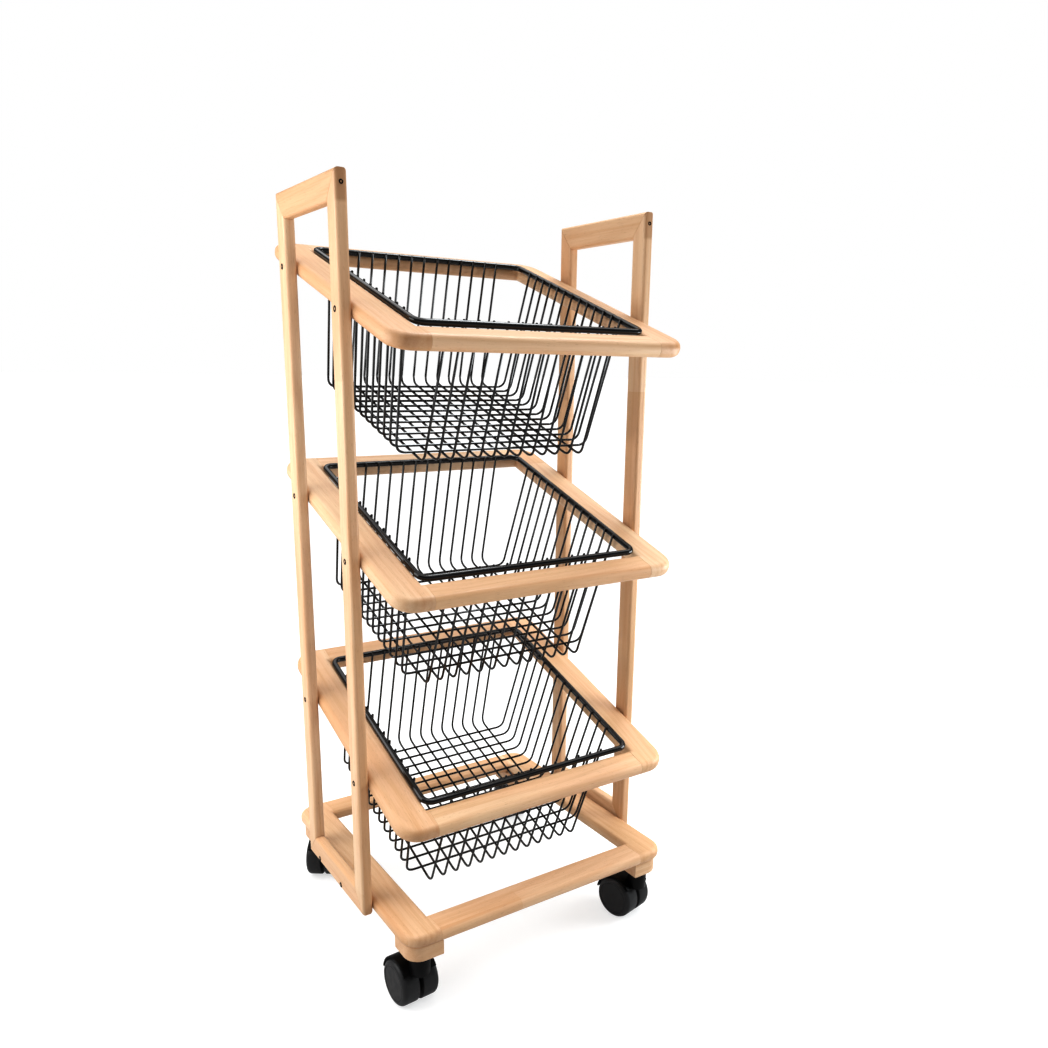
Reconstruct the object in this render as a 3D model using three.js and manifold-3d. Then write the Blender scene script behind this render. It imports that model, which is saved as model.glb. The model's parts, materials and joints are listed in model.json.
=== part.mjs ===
// Rolling stand with three sloping trays and a lift-out wire basket in each.
// Millimetres, +Z up, -Y is the low front of the trays, the floor is Z = 0.
import * as THREE from 'three';
import { mergeVertices } from 'three/addons/utils/BufferGeometryUtils.js';
import Module from 'manifold-3d';

const wasm = await Module();
wasm.setup();

// Overall size and fits
const WIDTH = 330;
const HEIGHT = 745;
const JOINT_GAP = 0.25;
const SEAT_GAP = 0.3;

// Side frames: mitred loops of square-cut bars
const POST_THICKNESS = 11;
const POST_DEPTH = 20;
const FRAME_DEPTH = 146;
const FRAME_RAIL_HEIGHT = 24;
const FRAME_EDGE_RADIUS = 3.4;

// Base frame
const BASE_LENGTH = 300;
const BASE_THICKNESS = 12.5;
const BASE_SIDE_WIDTH = 34.5;
const BASE_END_WIDTH = 31.5;
const BASE_CORNER_RADIUS = 20;
const BASE_EDGE_RADIUS = 5.4;

// Trays
const TRAY_TILT = THREE.MathUtils.degToRad(18.5);
const TOP_TRAY_DROP = 85.5;
const BOTTOM_TRAY_HEIGHT = 234.5;
const TRAY_LENGTH = 295;
const TRAY_THICKNESS = 14.5;
const TRAY_OVERHANG_SHIFT = 6;
const TRAY_SIDE_WIDTH = 35;
const TRAY_END_WIDTH = 28;
const TRAY_CORNER_RADIUS = 22;
const TRAY_EDGE_RADIUS = 6.3;

// Baskets
const RIM_RADIUS = 3;
const RIM_RISE = 0.8;
const RIM_FRONT_SPACE = 4;
const RIM_CORNER_RADIUS = 9;
const WIRE_RADIUS = 1.2;
const WIRE_SIDES = 5;
const WIRES_FRONT_TO_BACK = 13;
const WIRES_ACROSS = 13;
const WIRE_END_HEIGHT = 2;
const BASKET_DEPTH = 130;
const BASKET_FLARE = 8.4;
const BASKET_BEND_RADIUS = 10;
const FLOOR_MARGIN_X = 18.5;
const FLOOR_MARGIN_Y = 20;
const WIRE_CROSS_SPACE = 0.25;
const WELD_DEPTH = 0.5;

// Screws through the posts into the tray side rails
const SCREW_HEAD_RADIUS = 2.75;
const SCREW_HEAD_HEIGHT = 1.6;
const SCREW_SHANK_RADIUS = 1.5;
const SCREW_LENGTH = 24;
const SCREW_SIDES = 8;

// Casters
const WHEEL_RADIUS = 22.3;
const WHEEL_WIDTH = 17.3;
const WHEEL_SIDES = 20;
const WHEEL_EDGE = 4;
const WHEEL_INNER_EDGE = 1;
const CASTER_TRAIL = 18;
const CASTER_WEB = 3.4;
const HOOD_SPACE = 1;
const HOOD_WALL = 2;
const HOOD_INSET = 2;
const HOOD_REAR = THREE.MathUtils.degToRad(10);
const HOOD_FRONT = THREE.MathUtils.degToRad(140);
const AXLE_RADIUS = 3;
const STEM_RADIUS = 4.5;
const STEM_LENGTH = 12;
const NECK_RADIUS = 10;
const CASTER_HEIGHT = 61;
const BLOCK_SIZE = 34;
const BLOCK_HEIGHT = 16;
const BLOCK_INSET = 4;
const CASTER_TURNS = {
  front_left: THREE.MathUtils.degToRad(3),
  front_right: THREE.MathUtils.degToRad(12),
  rear_left: THREE.MathUtils.degToRad(-35),
  rear_right: THREE.MathUtils.degToRad(-20),
};

// Sizes that follow from the ones above
const FRAME_BOTTOM = CASTER_HEIGHT + BLOCK_HEIGHT;
const TOP_TRAY_HEIGHT = HEIGHT - TOP_TRAY_DROP;
const MIDDLE_TRAY_HEIGHT = (TOP_TRAY_HEIGHT + BOTTOM_TRAY_HEIGHT) / 2;
const FRAME_X = WIDTH / 2 - POST_THICKNESS / 2;
const POST_Y = FRAME_DEPTH / 2 - POST_DEPTH / 2;
const INSIDE_HALF = WIDTH / 2 - POST_THICKNESS - SEAT_GAP;
const OPENING_HALF = INSIDE_HALF - TRAY_SIDE_WIDTH;
const OPENING_HALF_LENGTH = TRAY_LENGTH / 2 - TRAY_END_WIDTH;
const RIM_HEIGHT = TRAY_THICKNESS / 2 + RIM_RISE;
const RIM_REACH = TRAY_EDGE_RADIUS + RIM_RADIUS + SEAT_GAP;
const RIM_TUCK = Math.sqrt(RIM_REACH ** 2 - (RIM_RISE + TRAY_EDGE_RADIUS) ** 2) - TRAY_EDGE_RADIUS;
const RIM_HALF = OPENING_HALF - RIM_TUCK;
const RIM_FRONT = -OPENING_HALF_LENGTH + RIM_FRONT_SPACE;
const RIM_REAR = OPENING_HALF_LENGTH - RIM_TUCK;
const RIM_Y = (RIM_FRONT + RIM_REAR) / 2;
const RIM_HALF_LENGTH = (RIM_REAR - RIM_FRONT) / 2;
const WIRE_INSET = RIM_RADIUS + SEAT_GAP + WIRE_RADIUS;

const wood = new THREE.MeshStandardMaterial({ color: 0xd9b48f, roughness: 0.5, metalness: 0 });
const coated = new THREE.MeshStandardMaterial({ color: 0x17171a, roughness: 0.35, metalness: 0.3 });
const plastic = new THREE.MeshStandardMaterial({ color: 0x222326, roughness: 0.4, metalness: 0 });
const darkSteel = new THREE.MeshStandardMaterial({ color: 0x1b1b1d, roughness: 0.45, metalness: 0.8 });

const parked = new THREE.Group();
parked.name = 'tiered_vegetable_basket';
const stand = new THREE.Group();
stand.name = 'stand';
parked.add(stand);

function addPiece(name, geometry, material, parent = stand) {
  const mesh = new THREE.Mesh(geometry, material);
  mesh.name = name;
  parent.add(mesh);
  return mesh;
}

function toSolid(geometry) {
  const plain = geometry.clone();
  plain.deleteAttribute('normal');
  plain.deleteAttribute('uv');
  const merged = mergeVertices(plain, 1e-4);
  const mesh = new wasm.Mesh({
    numProp: 3,
    vertProperties: new Float32Array(merged.attributes.position.array),
    triVerts: new Uint32Array(merged.index.array),
  });
  return new wasm.Manifold(mesh);
}

function toGeometry(solid) {
  const mesh = solid.getMesh();
  const geometry = new THREE.BufferGeometry();
  geometry.setAttribute('position', new THREE.BufferAttribute(new Float32Array(mesh.vertProperties), 3));
  geometry.setIndex(new THREE.BufferAttribute(new Uint32Array(mesh.triVerts), 1));
  geometry.computeVertexNormals();
  return geometry;
}

function subtractAll(geometry, tools) {
  let solid = toSolid(geometry);
  for (const tool of tools) {
    solid = solid.subtract(toSolid(tool));
  }
  return toGeometry(solid);
}

function unionAll(geometries) {
  let solid = toSolid(geometries[0]);
  for (const geometry of geometries.slice(1)) {
    solid = solid.add(toSolid(geometry));
  }
  return toGeometry(solid);
}

// A rectangle centred on the origin with its own radius at each corner,
// from the low corner anticlockwise
function roundedOutline(width, depth, radii, segments) {
  const corners = [
    [-width / 2, -depth / 2, Math.PI],
    [width / 2, -depth / 2, 1.5 * Math.PI],
    [width / 2, depth / 2, 0],
    [-width / 2, depth / 2, 0.5 * Math.PI],
  ];
  const points = [];
  corners.forEach(([x, y, start], corner) => {
    const radius = radii[corner];
    const cx = x - Math.sign(x) * radius;
    const cy = y - Math.sign(y) * radius;
    const steps = radius > 0 ? segments : 0;
    for (let i = 0; i <= steps; i += 1) {
      const angle = start + (steps ? (Math.PI / 2) * (i / steps) : 0);
      points.push(new THREE.Vector2(cx + radius * Math.cos(angle), cy + radius * Math.sin(angle)));
    }
  });
  return points;
}

function slab(width, depth, height, radii, segments) {
  const shape = new THREE.Shape(roundedOutline(width, depth, radii, segments));
  const geometry = new THREE.ExtrudeGeometry(shape, { depth: height, bevelEnabled: false });
  geometry.translate(0, 0, -height / 2);
  return geometry;
}

// A bar along Z whose ends are cut on a slant: its outer side, at -Y, is the long one
function mitredBar(thickness, depth, length, endLoss) {
  const radii = Array(4).fill(FRAME_EDGE_RADIUS);
  const geometry = slab(thickness, depth, length - 2 * JOINT_GAP, radii, 2);
  const position = geometry.attributes.position;
  for (let i = 0; i < position.count; i += 1) {
    const loss = endLoss * (position.getY(i) / depth + 0.5);
    const z = position.getZ(i);
    position.setZ(i, z - Math.sign(z) * loss);
  }
  geometry.computeVertexNormals();
  return geometry;
}

// A round bar swept along flat points (u, v), with w across the plane
function sweptRound(points, closed, radius, sides, toPoint) {
  const count = points.length;
  const vertices = [];
  const index = [];
  for (let i = 0; i < count; i += 1) {
    const before = points[closed ? (i + count - 1) % count : Math.max(i - 1, 0)];
    const after = points[closed ? (i + 1) % count : Math.min(i + 1, count - 1)];
    const inward = points[i].clone().sub(before).normalize();
    const outward = after.clone().sub(points[i]).normalize();
    const along = inward.clone().add(outward).normalize();
    const stretch = 1 / Math.max(along.dot(outward), along.dot(inward), 0.5);
    for (let k = 0; k < sides; k += 1) {
      const angle = (2 * Math.PI * (k + 0.5)) / sides;
      const offset = radius * Math.cos(angle) * stretch;
      const u = points[i].x + along.y * offset;
      const v = points[i].y - along.x * offset;
      vertices.push(...toPoint(u, v, radius * Math.sin(angle)));
    }
  }
  const spans = closed ? count : count - 1;
  for (let i = 0; i < spans; i += 1) {
    for (let k = 0; k < sides; k += 1) {
      const a = i * sides + k;
      const b = i * sides + ((k + 1) % sides);
      const c = ((i + 1) % count) * sides + k;
      const d = ((i + 1) % count) * sides + ((k + 1) % sides);
      index.push(a, b, d, a, d, c);
    }
  }
  if (!closed) {
    for (let k = 1; k < sides - 1; k += 1) {
      const last = (count - 1) * sides;
      index.push(0, k + 1, k, last, last + k, last + k + 1);
    }
  }
  const geometry = new THREE.BufferGeometry();
  geometry.setAttribute('position', new THREE.Float32BufferAttribute(vertices, 3));
  geometry.setIndex(index);
  const solid = toSolid(geometry);
  if (solid.volume() < 0) {
    for (let i = 0; i < index.length; i += 3) {
      [index[i + 1], index[i + 2]] = [index[i + 2], index[i + 1]];
    }
    geometry.setIndex(index);
  }
  geometry.computeVertexNormals();
  return geometry;
}

function roundAlongX(radius, length, sides) {
  const geometry = new THREE.CylinderGeometry(radius, radius, length, sides);
  geometry.rotateZ(Math.PI / 2);
  return geometry;
}

// Screws: the profile runs from the head at the outer face inwards along +X
function screwGeometry() {
  const profile = [
    new THREE.Vector2(0, 0),
    new THREE.Vector2(SCREW_HEAD_RADIUS, 0),
    new THREE.Vector2(SCREW_HEAD_RADIUS, SCREW_HEAD_HEIGHT),
    new THREE.Vector2(SCREW_SHANK_RADIUS, SCREW_HEAD_HEIGHT),
    new THREE.Vector2(SCREW_SHANK_RADIUS, SCREW_LENGTH - SCREW_SHANK_RADIUS),
    new THREE.Vector2(0, SCREW_LENGTH),
  ];
  const geometry = new THREE.LatheGeometry(profile, SCREW_SIDES);
  geometry.rotateZ(-Math.PI / 2);
  return geometry;
}

function screwBore() {
  const head = roundAlongX(SCREW_HEAD_RADIUS + SEAT_GAP, 2 * (SCREW_HEAD_HEIGHT + SEAT_GAP), SCREW_SIDES);
  const shank = roundAlongX(SCREW_SHANK_RADIUS + SEAT_GAP, 2 * (SCREW_LENGTH + SEAT_GAP), SCREW_SIDES);
  return unionAll([head, shank]);
}

const trayHeights = {
  top: TOP_TRAY_HEIGHT,
  middle: MIDDLE_TRAY_HEIGHT,
  bottom: BOTTOM_TRAY_HEIGHT,
};

function screwHeight(tier, y) {
  return trayHeights[tier] + y * Math.tan(TRAY_TILT);
}

// Side frames
for (const [side, sign] of [['left', -1], ['right', 1]]) {
  const length = HEIGHT - FRAME_BOTTOM;
  const middle = (HEIGHT + FRAME_BOTTOM) / 2;
  for (const [end, way] of [['front', -1], ['rear', 1]]) {
    const post = mitredBar(POST_THICKNESS, POST_DEPTH, length, FRAME_RAIL_HEIGHT);
    if (way > 0) {
      post.rotateZ(Math.PI);
    }
    post.translate(sign * FRAME_X, way * POST_Y, middle);
    const bores = Object.keys(trayHeights).map((tier) => {
      const bore = screwBore();
      bore.translate((sign * WIDTH) / 2, way * POST_Y, screwHeight(tier, way * POST_Y));
      return bore;
    });
    addPiece(`${side}_${end}_post`, subtractAll(post, bores), wood);
  }
  for (const [end, way] of [['top', 1], ['bottom', -1]]) {
    const rail = mitredBar(POST_THICKNESS, FRAME_RAIL_HEIGHT, FRAME_DEPTH, POST_DEPTH);
    rail.rotateX((way * -Math.PI) / 2);
    const z = middle + way * (length / 2 - FRAME_RAIL_HEIGHT / 2);
    rail.translate(sign * FRAME_X, 0, z);
    addPiece(`${side}_${end}_rail`, rail, wood);
  }
}

// Flat outlines stacked at their heights, closed at both ends
function loft(levels) {
  const count = levels[0].points.length;
  const vertices = levels.flatMap(({ z, points }) => points.flatMap((p) => [p.x, p.y, z]));
  const index = [];
  for (let level = 0; level < levels.length - 1; level += 1) {
    for (let i = 0; i < count; i += 1) {
      const a = level * count + i;
      const b = level * count + ((i + 1) % count);
      index.push(a, b, b + count, a, b + count, a + count);
    }
  }
  const last = (levels.length - 1) * count;
  for (let i = 1; i < count - 1; i += 1) {
    index.push(0, i + 1, i, last, last + i, last + i + 1);
  }
  const geometry = new THREE.BufferGeometry();
  geometry.setAttribute('position', new THREE.Float32BufferAttribute(vertices, 3));
  geometry.setIndex(index);
  return geometry;
}

// Heights and insets of a rounded edge on a board, from the lower face to the upper one
function edgeSteps(thickness, radius) {
  const quarter = [0, 0.5, 1].map((t) => {
    const angle = (t * Math.PI) / 2;
    return { z: radius * Math.sin(angle), inset: radius * (1 - Math.cos(angle)) };
  });
  const flat = thickness / 2 - radius;
  const upper = quarter.map(({ z, inset }) => ({ z: flat + z, inset }));
  const lower = upper.map(({ z, inset }) => ({ z: -z, inset })).reverse();
  return [...lower, ...upper];
}

// A flat frame with a rectangular opening, all its edges rounded, cut into four rails.
// The side rails run through from end to end
function addFlatFrame(names, size, parent, cutters) {
  const { length, thickness, side, end, corner, edge } = size;
  const steps = edgeSteps(thickness, edge);
  const board = loft(steps.map(({ z, inset }) => {
    const radii = Array(4).fill(corner - inset);
    return { z, points: roundedOutline(2 * (INSIDE_HALF - inset), length - 2 * inset, radii, 5) };
  }));
  const halfX = INSIDE_HALF - side;
  const halfY = length / 2 - end;
  const mouth = { z: thickness / 2 + edge, inset: edge };
  const opening = loft([{ ...mouth, z: -mouth.z }, ...steps, mouth].map(({ z, inset }) => {
    const points = roundedOutline(2 * (halfX + inset), 2 * (halfY + inset), [0, 0, 0, 0], 0);
    return { z, points };
  }));
  const frame = toSolid(board).subtract(toSolid(opening));
  for (const [name, sign] of [['left', -1], ['right', 1]]) {
    const zone = new THREE.BoxGeometry(INSIDE_HALF, 2 * length, 4 * thickness);
    zone.translate(sign * (halfX + INSIDE_HALF / 2), 0, 0);
    const rail = toGeometry(frame.intersect(toSolid(zone)));
    const cut = cutters[name];
    addPiece(names(name), cut.length ? subtractAll(rail, cut) : rail, wood, parent);
  }
  for (const [name, way] of [['front', -1], ['rear', 1]]) {
    const zone = new THREE.BoxGeometry(2 * (halfX - JOINT_GAP), length, 4 * thickness);
    zone.translate(0, (way * length) / 2, 0);
    addPiece(names(name), toGeometry(frame.intersect(toSolid(zone))), wood, parent);
  }
}

// Base
const base = new THREE.Group();
base.name = 'base';
base.position.set(0, 0, FRAME_BOTTOM + BASE_THICKNESS / 2);
stand.add(base);
addFlatFrame(
  (end) => `base_${end}_rail`,
  {
    length: BASE_LENGTH,
    thickness: BASE_THICKNESS,
    side: BASE_SIDE_WIDTH,
    end: BASE_END_WIDTH,
    corner: BASE_CORNER_RADIUS,
    edge: BASE_EDGE_RADIUS,
  },
  base,
  { left: [], right: [] },
);

// One bent wire of a basket, as flat points: half span at the rim, then the floor
function wirePath(half, floorHeight) {
  const top = RIM_HEIGHT + WIRE_END_HEIGHT;
  const slope = BASKET_FLARE / (RIM_HEIGHT - floorHeight);
  const foot = half - BASKET_FLARE;
  const wall = new THREE.Vector2(slope, 1).normalize();
  const reach = BASKET_BEND_RADIUS * Math.tan((Math.PI / 2 - Math.atan(slope)) / 2);
  const bend = new THREE.Path();
  bend.moveTo(-half - slope * WIRE_END_HEIGHT, top);
  bend.lineTo(-foot - wall.x * reach, floorHeight + wall.y * reach);
  bend.quadraticCurveTo(-foot, floorHeight, -foot + reach, floorHeight);
  bend.lineTo(foot - reach, floorHeight);
  bend.quadraticCurveTo(foot, floorHeight, foot + wall.x * reach, floorHeight + wall.y * reach);
  bend.lineTo(half + slope * WIRE_END_HEIGHT, top);
  return bend.getPoints(3);
}

function evenly(count, half) {
  return Array.from({ length: count }, (_, i) => -half + (2 * half * i) / (count - 1));
}

function basketWires() {
  const halfX = RIM_HALF - WIRE_INSET;
  const halfY = RIM_HALF_LENGTH - WIRE_INSET;
  const alongX = evenly(WIRES_FRONT_TO_BACK, halfX - BASKET_FLARE - FLOOR_MARGIN_X);
  const alongY = evenly(WIRES_ACROSS, halfY - BASKET_FLARE - FLOOR_MARGIN_Y);
  const floor = RIM_HEIGHT - BASKET_DEPTH;
  const clearStep = 2 * WIRE_RADIUS + WIRE_CROSS_SPACE;
  const weldStep = 2 * WIRE_RADIUS - WELD_DEPTH;
  const isOuter = (i, list) => i === 0 || i === list.length - 1;
  const wires = [];
  alongX.forEach((x, i) => {
    const height = isOuter(i, alongX) ? floor - weldStep + clearStep : floor;
    const path = wirePath(halfY, height);
    wires.push(sweptRound(path, false, WIRE_RADIUS, WIRE_SIDES, (u, v, w) => [x + w, u, v]));
  });
  alongY.forEach((y, i) => {
    const height = floor + (isOuter(i, alongY) ? weldStep : clearStep);
    const path = wirePath(halfX, height);
    wires.push(sweptRound(path, false, WIRE_RADIUS, WIRE_SIDES, (u, v, w) => [u, y + w, v]));
  });
  const geometry = unionAll(wires);
  geometry.translate(0, RIM_Y, 0);
  return geometry;
}

function basketRim() {
  const width = 2 * RIM_HALF;
  const length = 2 * RIM_HALF_LENGTH;
  const points = roundedOutline(width, length, Array(4).fill(RIM_CORNER_RADIUS), 3);
  return sweptRound(points, true, RIM_RADIUS, 8, (u, v, w) => [u, v + RIM_Y, RIM_HEIGHT + w]);
}

// Trays, each with its basket
for (const tier of Object.keys(trayHeights)) {
  const tray = new THREE.Group();
  tray.name = `${tier}_tray`;
  const shiftY = -TRAY_OVERHANG_SHIFT * Math.cos(TRAY_TILT);
  const shiftZ = -TRAY_OVERHANG_SHIFT * Math.sin(TRAY_TILT);
  tray.position.set(0, shiftY, trayHeights[tier] + shiftZ);
  tray.rotation.x = TRAY_TILT;
  stand.add(tray);
  const cutters = { left: [], right: [] };
  for (const [side, sign] of [['left', -1], ['right', 1]]) {
    for (const way of [-1, 1]) {
      const bore = screwBore();
      bore.translate((sign * WIDTH) / 2, (way * POST_Y) / Math.cos(TRAY_TILT) + TRAY_OVERHANG_SHIFT, 0);
      cutters[side].push(bore);
    }
  }
  addFlatFrame(
    (end) => `${tier}_tray_${end}_rail`,
    {
      length: TRAY_LENGTH,
      thickness: TRAY_THICKNESS,
      side: TRAY_SIDE_WIDTH,
      end: TRAY_END_WIDTH,
      corner: TRAY_CORNER_RADIUS,
      edge: TRAY_EDGE_RADIUS,
    },
    tray,
    cutters,
  );
  addPiece(`${tier}_basket_rim`, basketRim(), coated, tray);
  addPiece(`${tier}_basket_wires`, basketWires(), coated, tray);
  for (const [side, sign] of [['left', -1], ['right', 1]]) {
    for (const [end, way] of [['front', -1], ['rear', 1]]) {
      const screw = screwGeometry();
      if (sign > 0) {
        screw.rotateZ(Math.PI);
      }
      screw.translate((sign * WIDTH) / 2, way * POST_Y, screwHeight(tier, way * POST_Y));
      addPiece(`${tier}_${side}_${end}_screw`, screw, darkSteel);
    }
  }
}

// Casters: the swivel axis is local Z at the origin, the wheels trail along +Y
const hoodRadius = WHEEL_RADIUS + HOOD_SPACE;
const casterHalf = CASTER_WEB / 2 + SEAT_GAP + WHEEL_WIDTH;

function hoodSector(inner, outer, from, to, width) {
  const shape = new THREE.Shape();
  shape.absarc(0, 0, outer, from, to, false);
  if (inner > 0) {
    shape.absarc(0, 0, inner, to, from, true);
  } else {
    shape.lineTo(0, 0);
  }
  shape.closePath();
  const geometry = new THREE.ExtrudeGeometry(shape, { depth: width, bevelEnabled: false, curveSegments: 8 });
  geometry.translate(0, 0, -width / 2);
  geometry.rotateY(Math.PI / 2);
  geometry.rotateX(Math.PI / 2);
  geometry.translate(0, CASTER_TRAIL, WHEEL_RADIUS);
  return geometry;
}

function casterHood() {
  const outer = hoodRadius + HOOD_WALL;
  const cover = hoodSector(hoodRadius, outer, HOOD_REAR, HOOD_FRONT, 2 * (casterHalf - HOOD_INSET));
  const web = hoodSector(0, outer - HOOD_WALL / 2, HOOD_REAR, HOOD_FRONT, CASTER_WEB);
  const axle = roundAlongX(AXLE_RADIUS, 2 * casterHalf - 2 * WHEEL_EDGE, 10);
  axle.translate(0, CASTER_TRAIL, WHEEL_RADIUS);
  const neckBottom = WHEEL_RADIUS + Math.sqrt(hoodRadius ** 2 - CASTER_TRAIL ** 2);
  const neckTop = CASTER_HEIGHT - SEAT_GAP;
  const neck = new THREE.CylinderGeometry(NECK_RADIUS, NECK_RADIUS, neckTop - neckBottom, 16);
  neck.rotateX(Math.PI / 2);
  neck.translate(0, 0, (neckTop + neckBottom) / 2);
  const wheelSpace = roundAlongX(hoodRadius, 3 * casterHalf, 2 * WHEEL_SIDES);
  wheelSpace.translate(0, CASTER_TRAIL, WHEEL_RADIUS);
  const stemBottom = neckTop - HOOD_WALL;
  const stem = new THREE.CylinderGeometry(STEM_RADIUS, STEM_RADIUS, STEM_LENGTH + HOOD_WALL, 12);
  stem.rotateX(Math.PI / 2);
  stem.translate(0, 0, stemBottom + (STEM_LENGTH + HOOD_WALL) / 2);
  return unionAll([cover, web, axle, subtractAll(neck, [wheelSpace]), stem]);
}

// The wheel stands on a flat of its tread, so its facets are drawn outside the radius.
// Its outer face, with the larger edge, is towards out
function casterWheel(out) {
  const bore = AXLE_RADIUS + SEAT_GAP;
  const tread = WHEEL_RADIUS / Math.cos(Math.PI / WHEEL_SIDES);
  const half = WHEEL_WIDTH / 2;
  const profile = [
    new THREE.Vector2(bore, -half),
    new THREE.Vector2(tread - WHEEL_INNER_EDGE, -half),
    new THREE.Vector2(tread, -half + WHEEL_INNER_EDGE),
    new THREE.Vector2(tread, half - WHEEL_EDGE),
    new THREE.Vector2(tread - WHEEL_EDGE, half),
    new THREE.Vector2(bore, half),
    new THREE.Vector2(bore, -half),
  ];
  const geometry = new THREE.LatheGeometry(profile, WHEEL_SIDES);
  geometry.rotateY(Math.PI / WHEEL_SIDES);
  geometry.rotateZ((out * -Math.PI) / 2);
  return geometry;
}

for (const [end, way] of [['front', -1], ['rear', 1]]) {
  for (const [side, sign] of [['left', -1], ['right', 1]]) {
    const corner = `${end}_${side}`;
    const x = sign * (INSIDE_HALF - BLOCK_INSET - BLOCK_SIZE / 2);
    const y = way * (BASE_LENGTH / 2 - BLOCK_INSET - BLOCK_SIZE / 2);
    const radii = [0, 0, 0, 0];
    const cornerIndex = way < 0 ? (sign < 0 ? 0 : 1) : (sign < 0 ? 3 : 2);
    radii[cornerIndex] = BASE_CORNER_RADIUS - BLOCK_INSET;
    const block = slab(BLOCK_SIZE, BLOCK_SIZE, BLOCK_HEIGHT - JOINT_GAP, radii, 5);
    block.translate(x, y, CASTER_HEIGHT + (BLOCK_HEIGHT - JOINT_GAP) / 2);
    const socket = new THREE.CylinderGeometry(
      STEM_RADIUS + SEAT_GAP,
      STEM_RADIUS + SEAT_GAP,
      2 * (STEM_LENGTH + SEAT_GAP),
      12,
    );
    socket.rotateX(Math.PI / 2);
    socket.translate(x, y, CASTER_HEIGHT);
    addPiece(`${corner}_caster_block`, subtractAll(block, [socket]), wood);
    const caster = new THREE.Group();
    caster.name = `${corner}_caster`;
    caster.position.set(x, y, 0);
    caster.rotation.z = CASTER_TURNS[corner];
    stand.add(caster);
    addPiece(`${corner}_caster_hood`, casterHood(), plastic, caster);
    for (const [face, out] of [['left', -1], ['right', 1]]) {
      const wheel = casterWheel(out);
      wheel.translate(out * (casterHalf - WHEEL_WIDTH / 2), CASTER_TRAIL, WHEEL_RADIUS);
      addPiece(`${corner}_${face}_wheel`, wheel, plastic, caster);
    }
  }
}

// The origin is below the middle of the stand as it is parked, trailing casters included
const reach = new THREE.Box3().setFromObject(stand);
stand.position.y = -(reach.min.y + reach.max.y) / 2;

export default parked;
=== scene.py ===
"""Looks of a rolling wooden stand with three sloping trays and a lift-out wire basket in each.

Metres, +Z up. -Y is the low front of the trays, the floor is Z = 0.
"""

import json
import math
from typing import NamedTuple

import bpy
import numpy as np
from mathutils import Matrix, Vector


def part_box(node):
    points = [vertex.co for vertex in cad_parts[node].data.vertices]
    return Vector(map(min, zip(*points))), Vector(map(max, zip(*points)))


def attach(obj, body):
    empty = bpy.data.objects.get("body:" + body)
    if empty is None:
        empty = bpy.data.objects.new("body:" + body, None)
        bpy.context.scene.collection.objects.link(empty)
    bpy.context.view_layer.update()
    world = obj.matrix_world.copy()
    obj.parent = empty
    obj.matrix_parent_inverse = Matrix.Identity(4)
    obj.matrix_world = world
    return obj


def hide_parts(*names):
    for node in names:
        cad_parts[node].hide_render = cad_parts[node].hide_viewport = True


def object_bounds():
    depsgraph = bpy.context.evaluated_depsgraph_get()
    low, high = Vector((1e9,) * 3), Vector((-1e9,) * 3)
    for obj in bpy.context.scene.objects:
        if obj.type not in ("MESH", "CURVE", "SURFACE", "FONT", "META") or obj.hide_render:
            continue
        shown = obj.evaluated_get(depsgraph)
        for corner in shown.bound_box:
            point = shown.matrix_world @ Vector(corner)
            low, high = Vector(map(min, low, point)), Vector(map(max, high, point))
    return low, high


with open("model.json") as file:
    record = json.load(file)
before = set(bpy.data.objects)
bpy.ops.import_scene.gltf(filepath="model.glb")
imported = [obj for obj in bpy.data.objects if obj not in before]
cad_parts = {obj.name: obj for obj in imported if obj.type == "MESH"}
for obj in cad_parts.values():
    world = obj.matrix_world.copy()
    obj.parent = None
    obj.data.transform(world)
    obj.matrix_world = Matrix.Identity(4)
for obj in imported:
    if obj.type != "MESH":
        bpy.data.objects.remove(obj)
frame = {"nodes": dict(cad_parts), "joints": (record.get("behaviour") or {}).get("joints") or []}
CAD_LOW, CAD_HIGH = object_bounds()
draw = np.random.default_rng(7)

TIERS = ("top", "middle", "bottom")
STAND_Y = (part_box("left_front_post")[0].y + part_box("left_rear_post")[1].y) / 2


def middle_of(node):
    """The middle of a node's box."""
    low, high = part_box(node)
    return (low + high) / 2


# Wood
BAR_EDGE = 0.0034
BAR_END_LINE = 0.0002
POST_DEPTH = 0.020
FRAME_RAIL_HEIGHT = 0.024
BOARD_FLAT_MARGIN = 0.0006
BOARD_JOINT = 0.00012
BLOCK_EDGE = 0.0012
FULL_SLANT = 1 - math.sqrt(0.5)
LOG_SPREAD = np.array([3, 0.3, 0.2])
# Dark end grain at the ends of the side rails, mixed with painted shade that makes the left ends darker than
# the right ones; and how steeply it sets in
END_GRAIN_AND_SHADE = {"left": 1.0, "right": 0.35}
END_GRAIN_AND_SHADE_STEEP = 1.5
SHARP_ANGLE = 35
ARC_STEPS = 8

# Signs of x and y, and the angle where the bend starts, for the four corners of a rectangle
CORNERS = ((-1, -1, 180), (1, -1, 270), (1, 1, 0), (-1, 1, 90))

# Brown patch at the top of a front post: its strength, and the rings that bound it as shares of the end loss
TOP_PATCH = 1.6
PATCH_RINGS = (1.08, 0.96)
PATCH_SLOPE = 0.08

# Trays and base, as boards with an opening
INSIDE_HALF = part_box("base_right_rail")[1].x
TRAY = dict(length=0.295, thickness=0.0145, side=0.035, end=0.028, corner=0.022, edge=0.0063)
BASE = dict(length=0.300, thickness=0.0125, side=0.0345, end=0.0315, corner=0.020, edge=0.0054)
TRAY_RISE = middle_of("top_left_rear_screw") - middle_of("top_left_front_screw")
TRAY_TILT = math.atan2(TRAY_RISE.z, TRAY_RISE.y)
TRAY_SHIFT = 0.006

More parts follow.
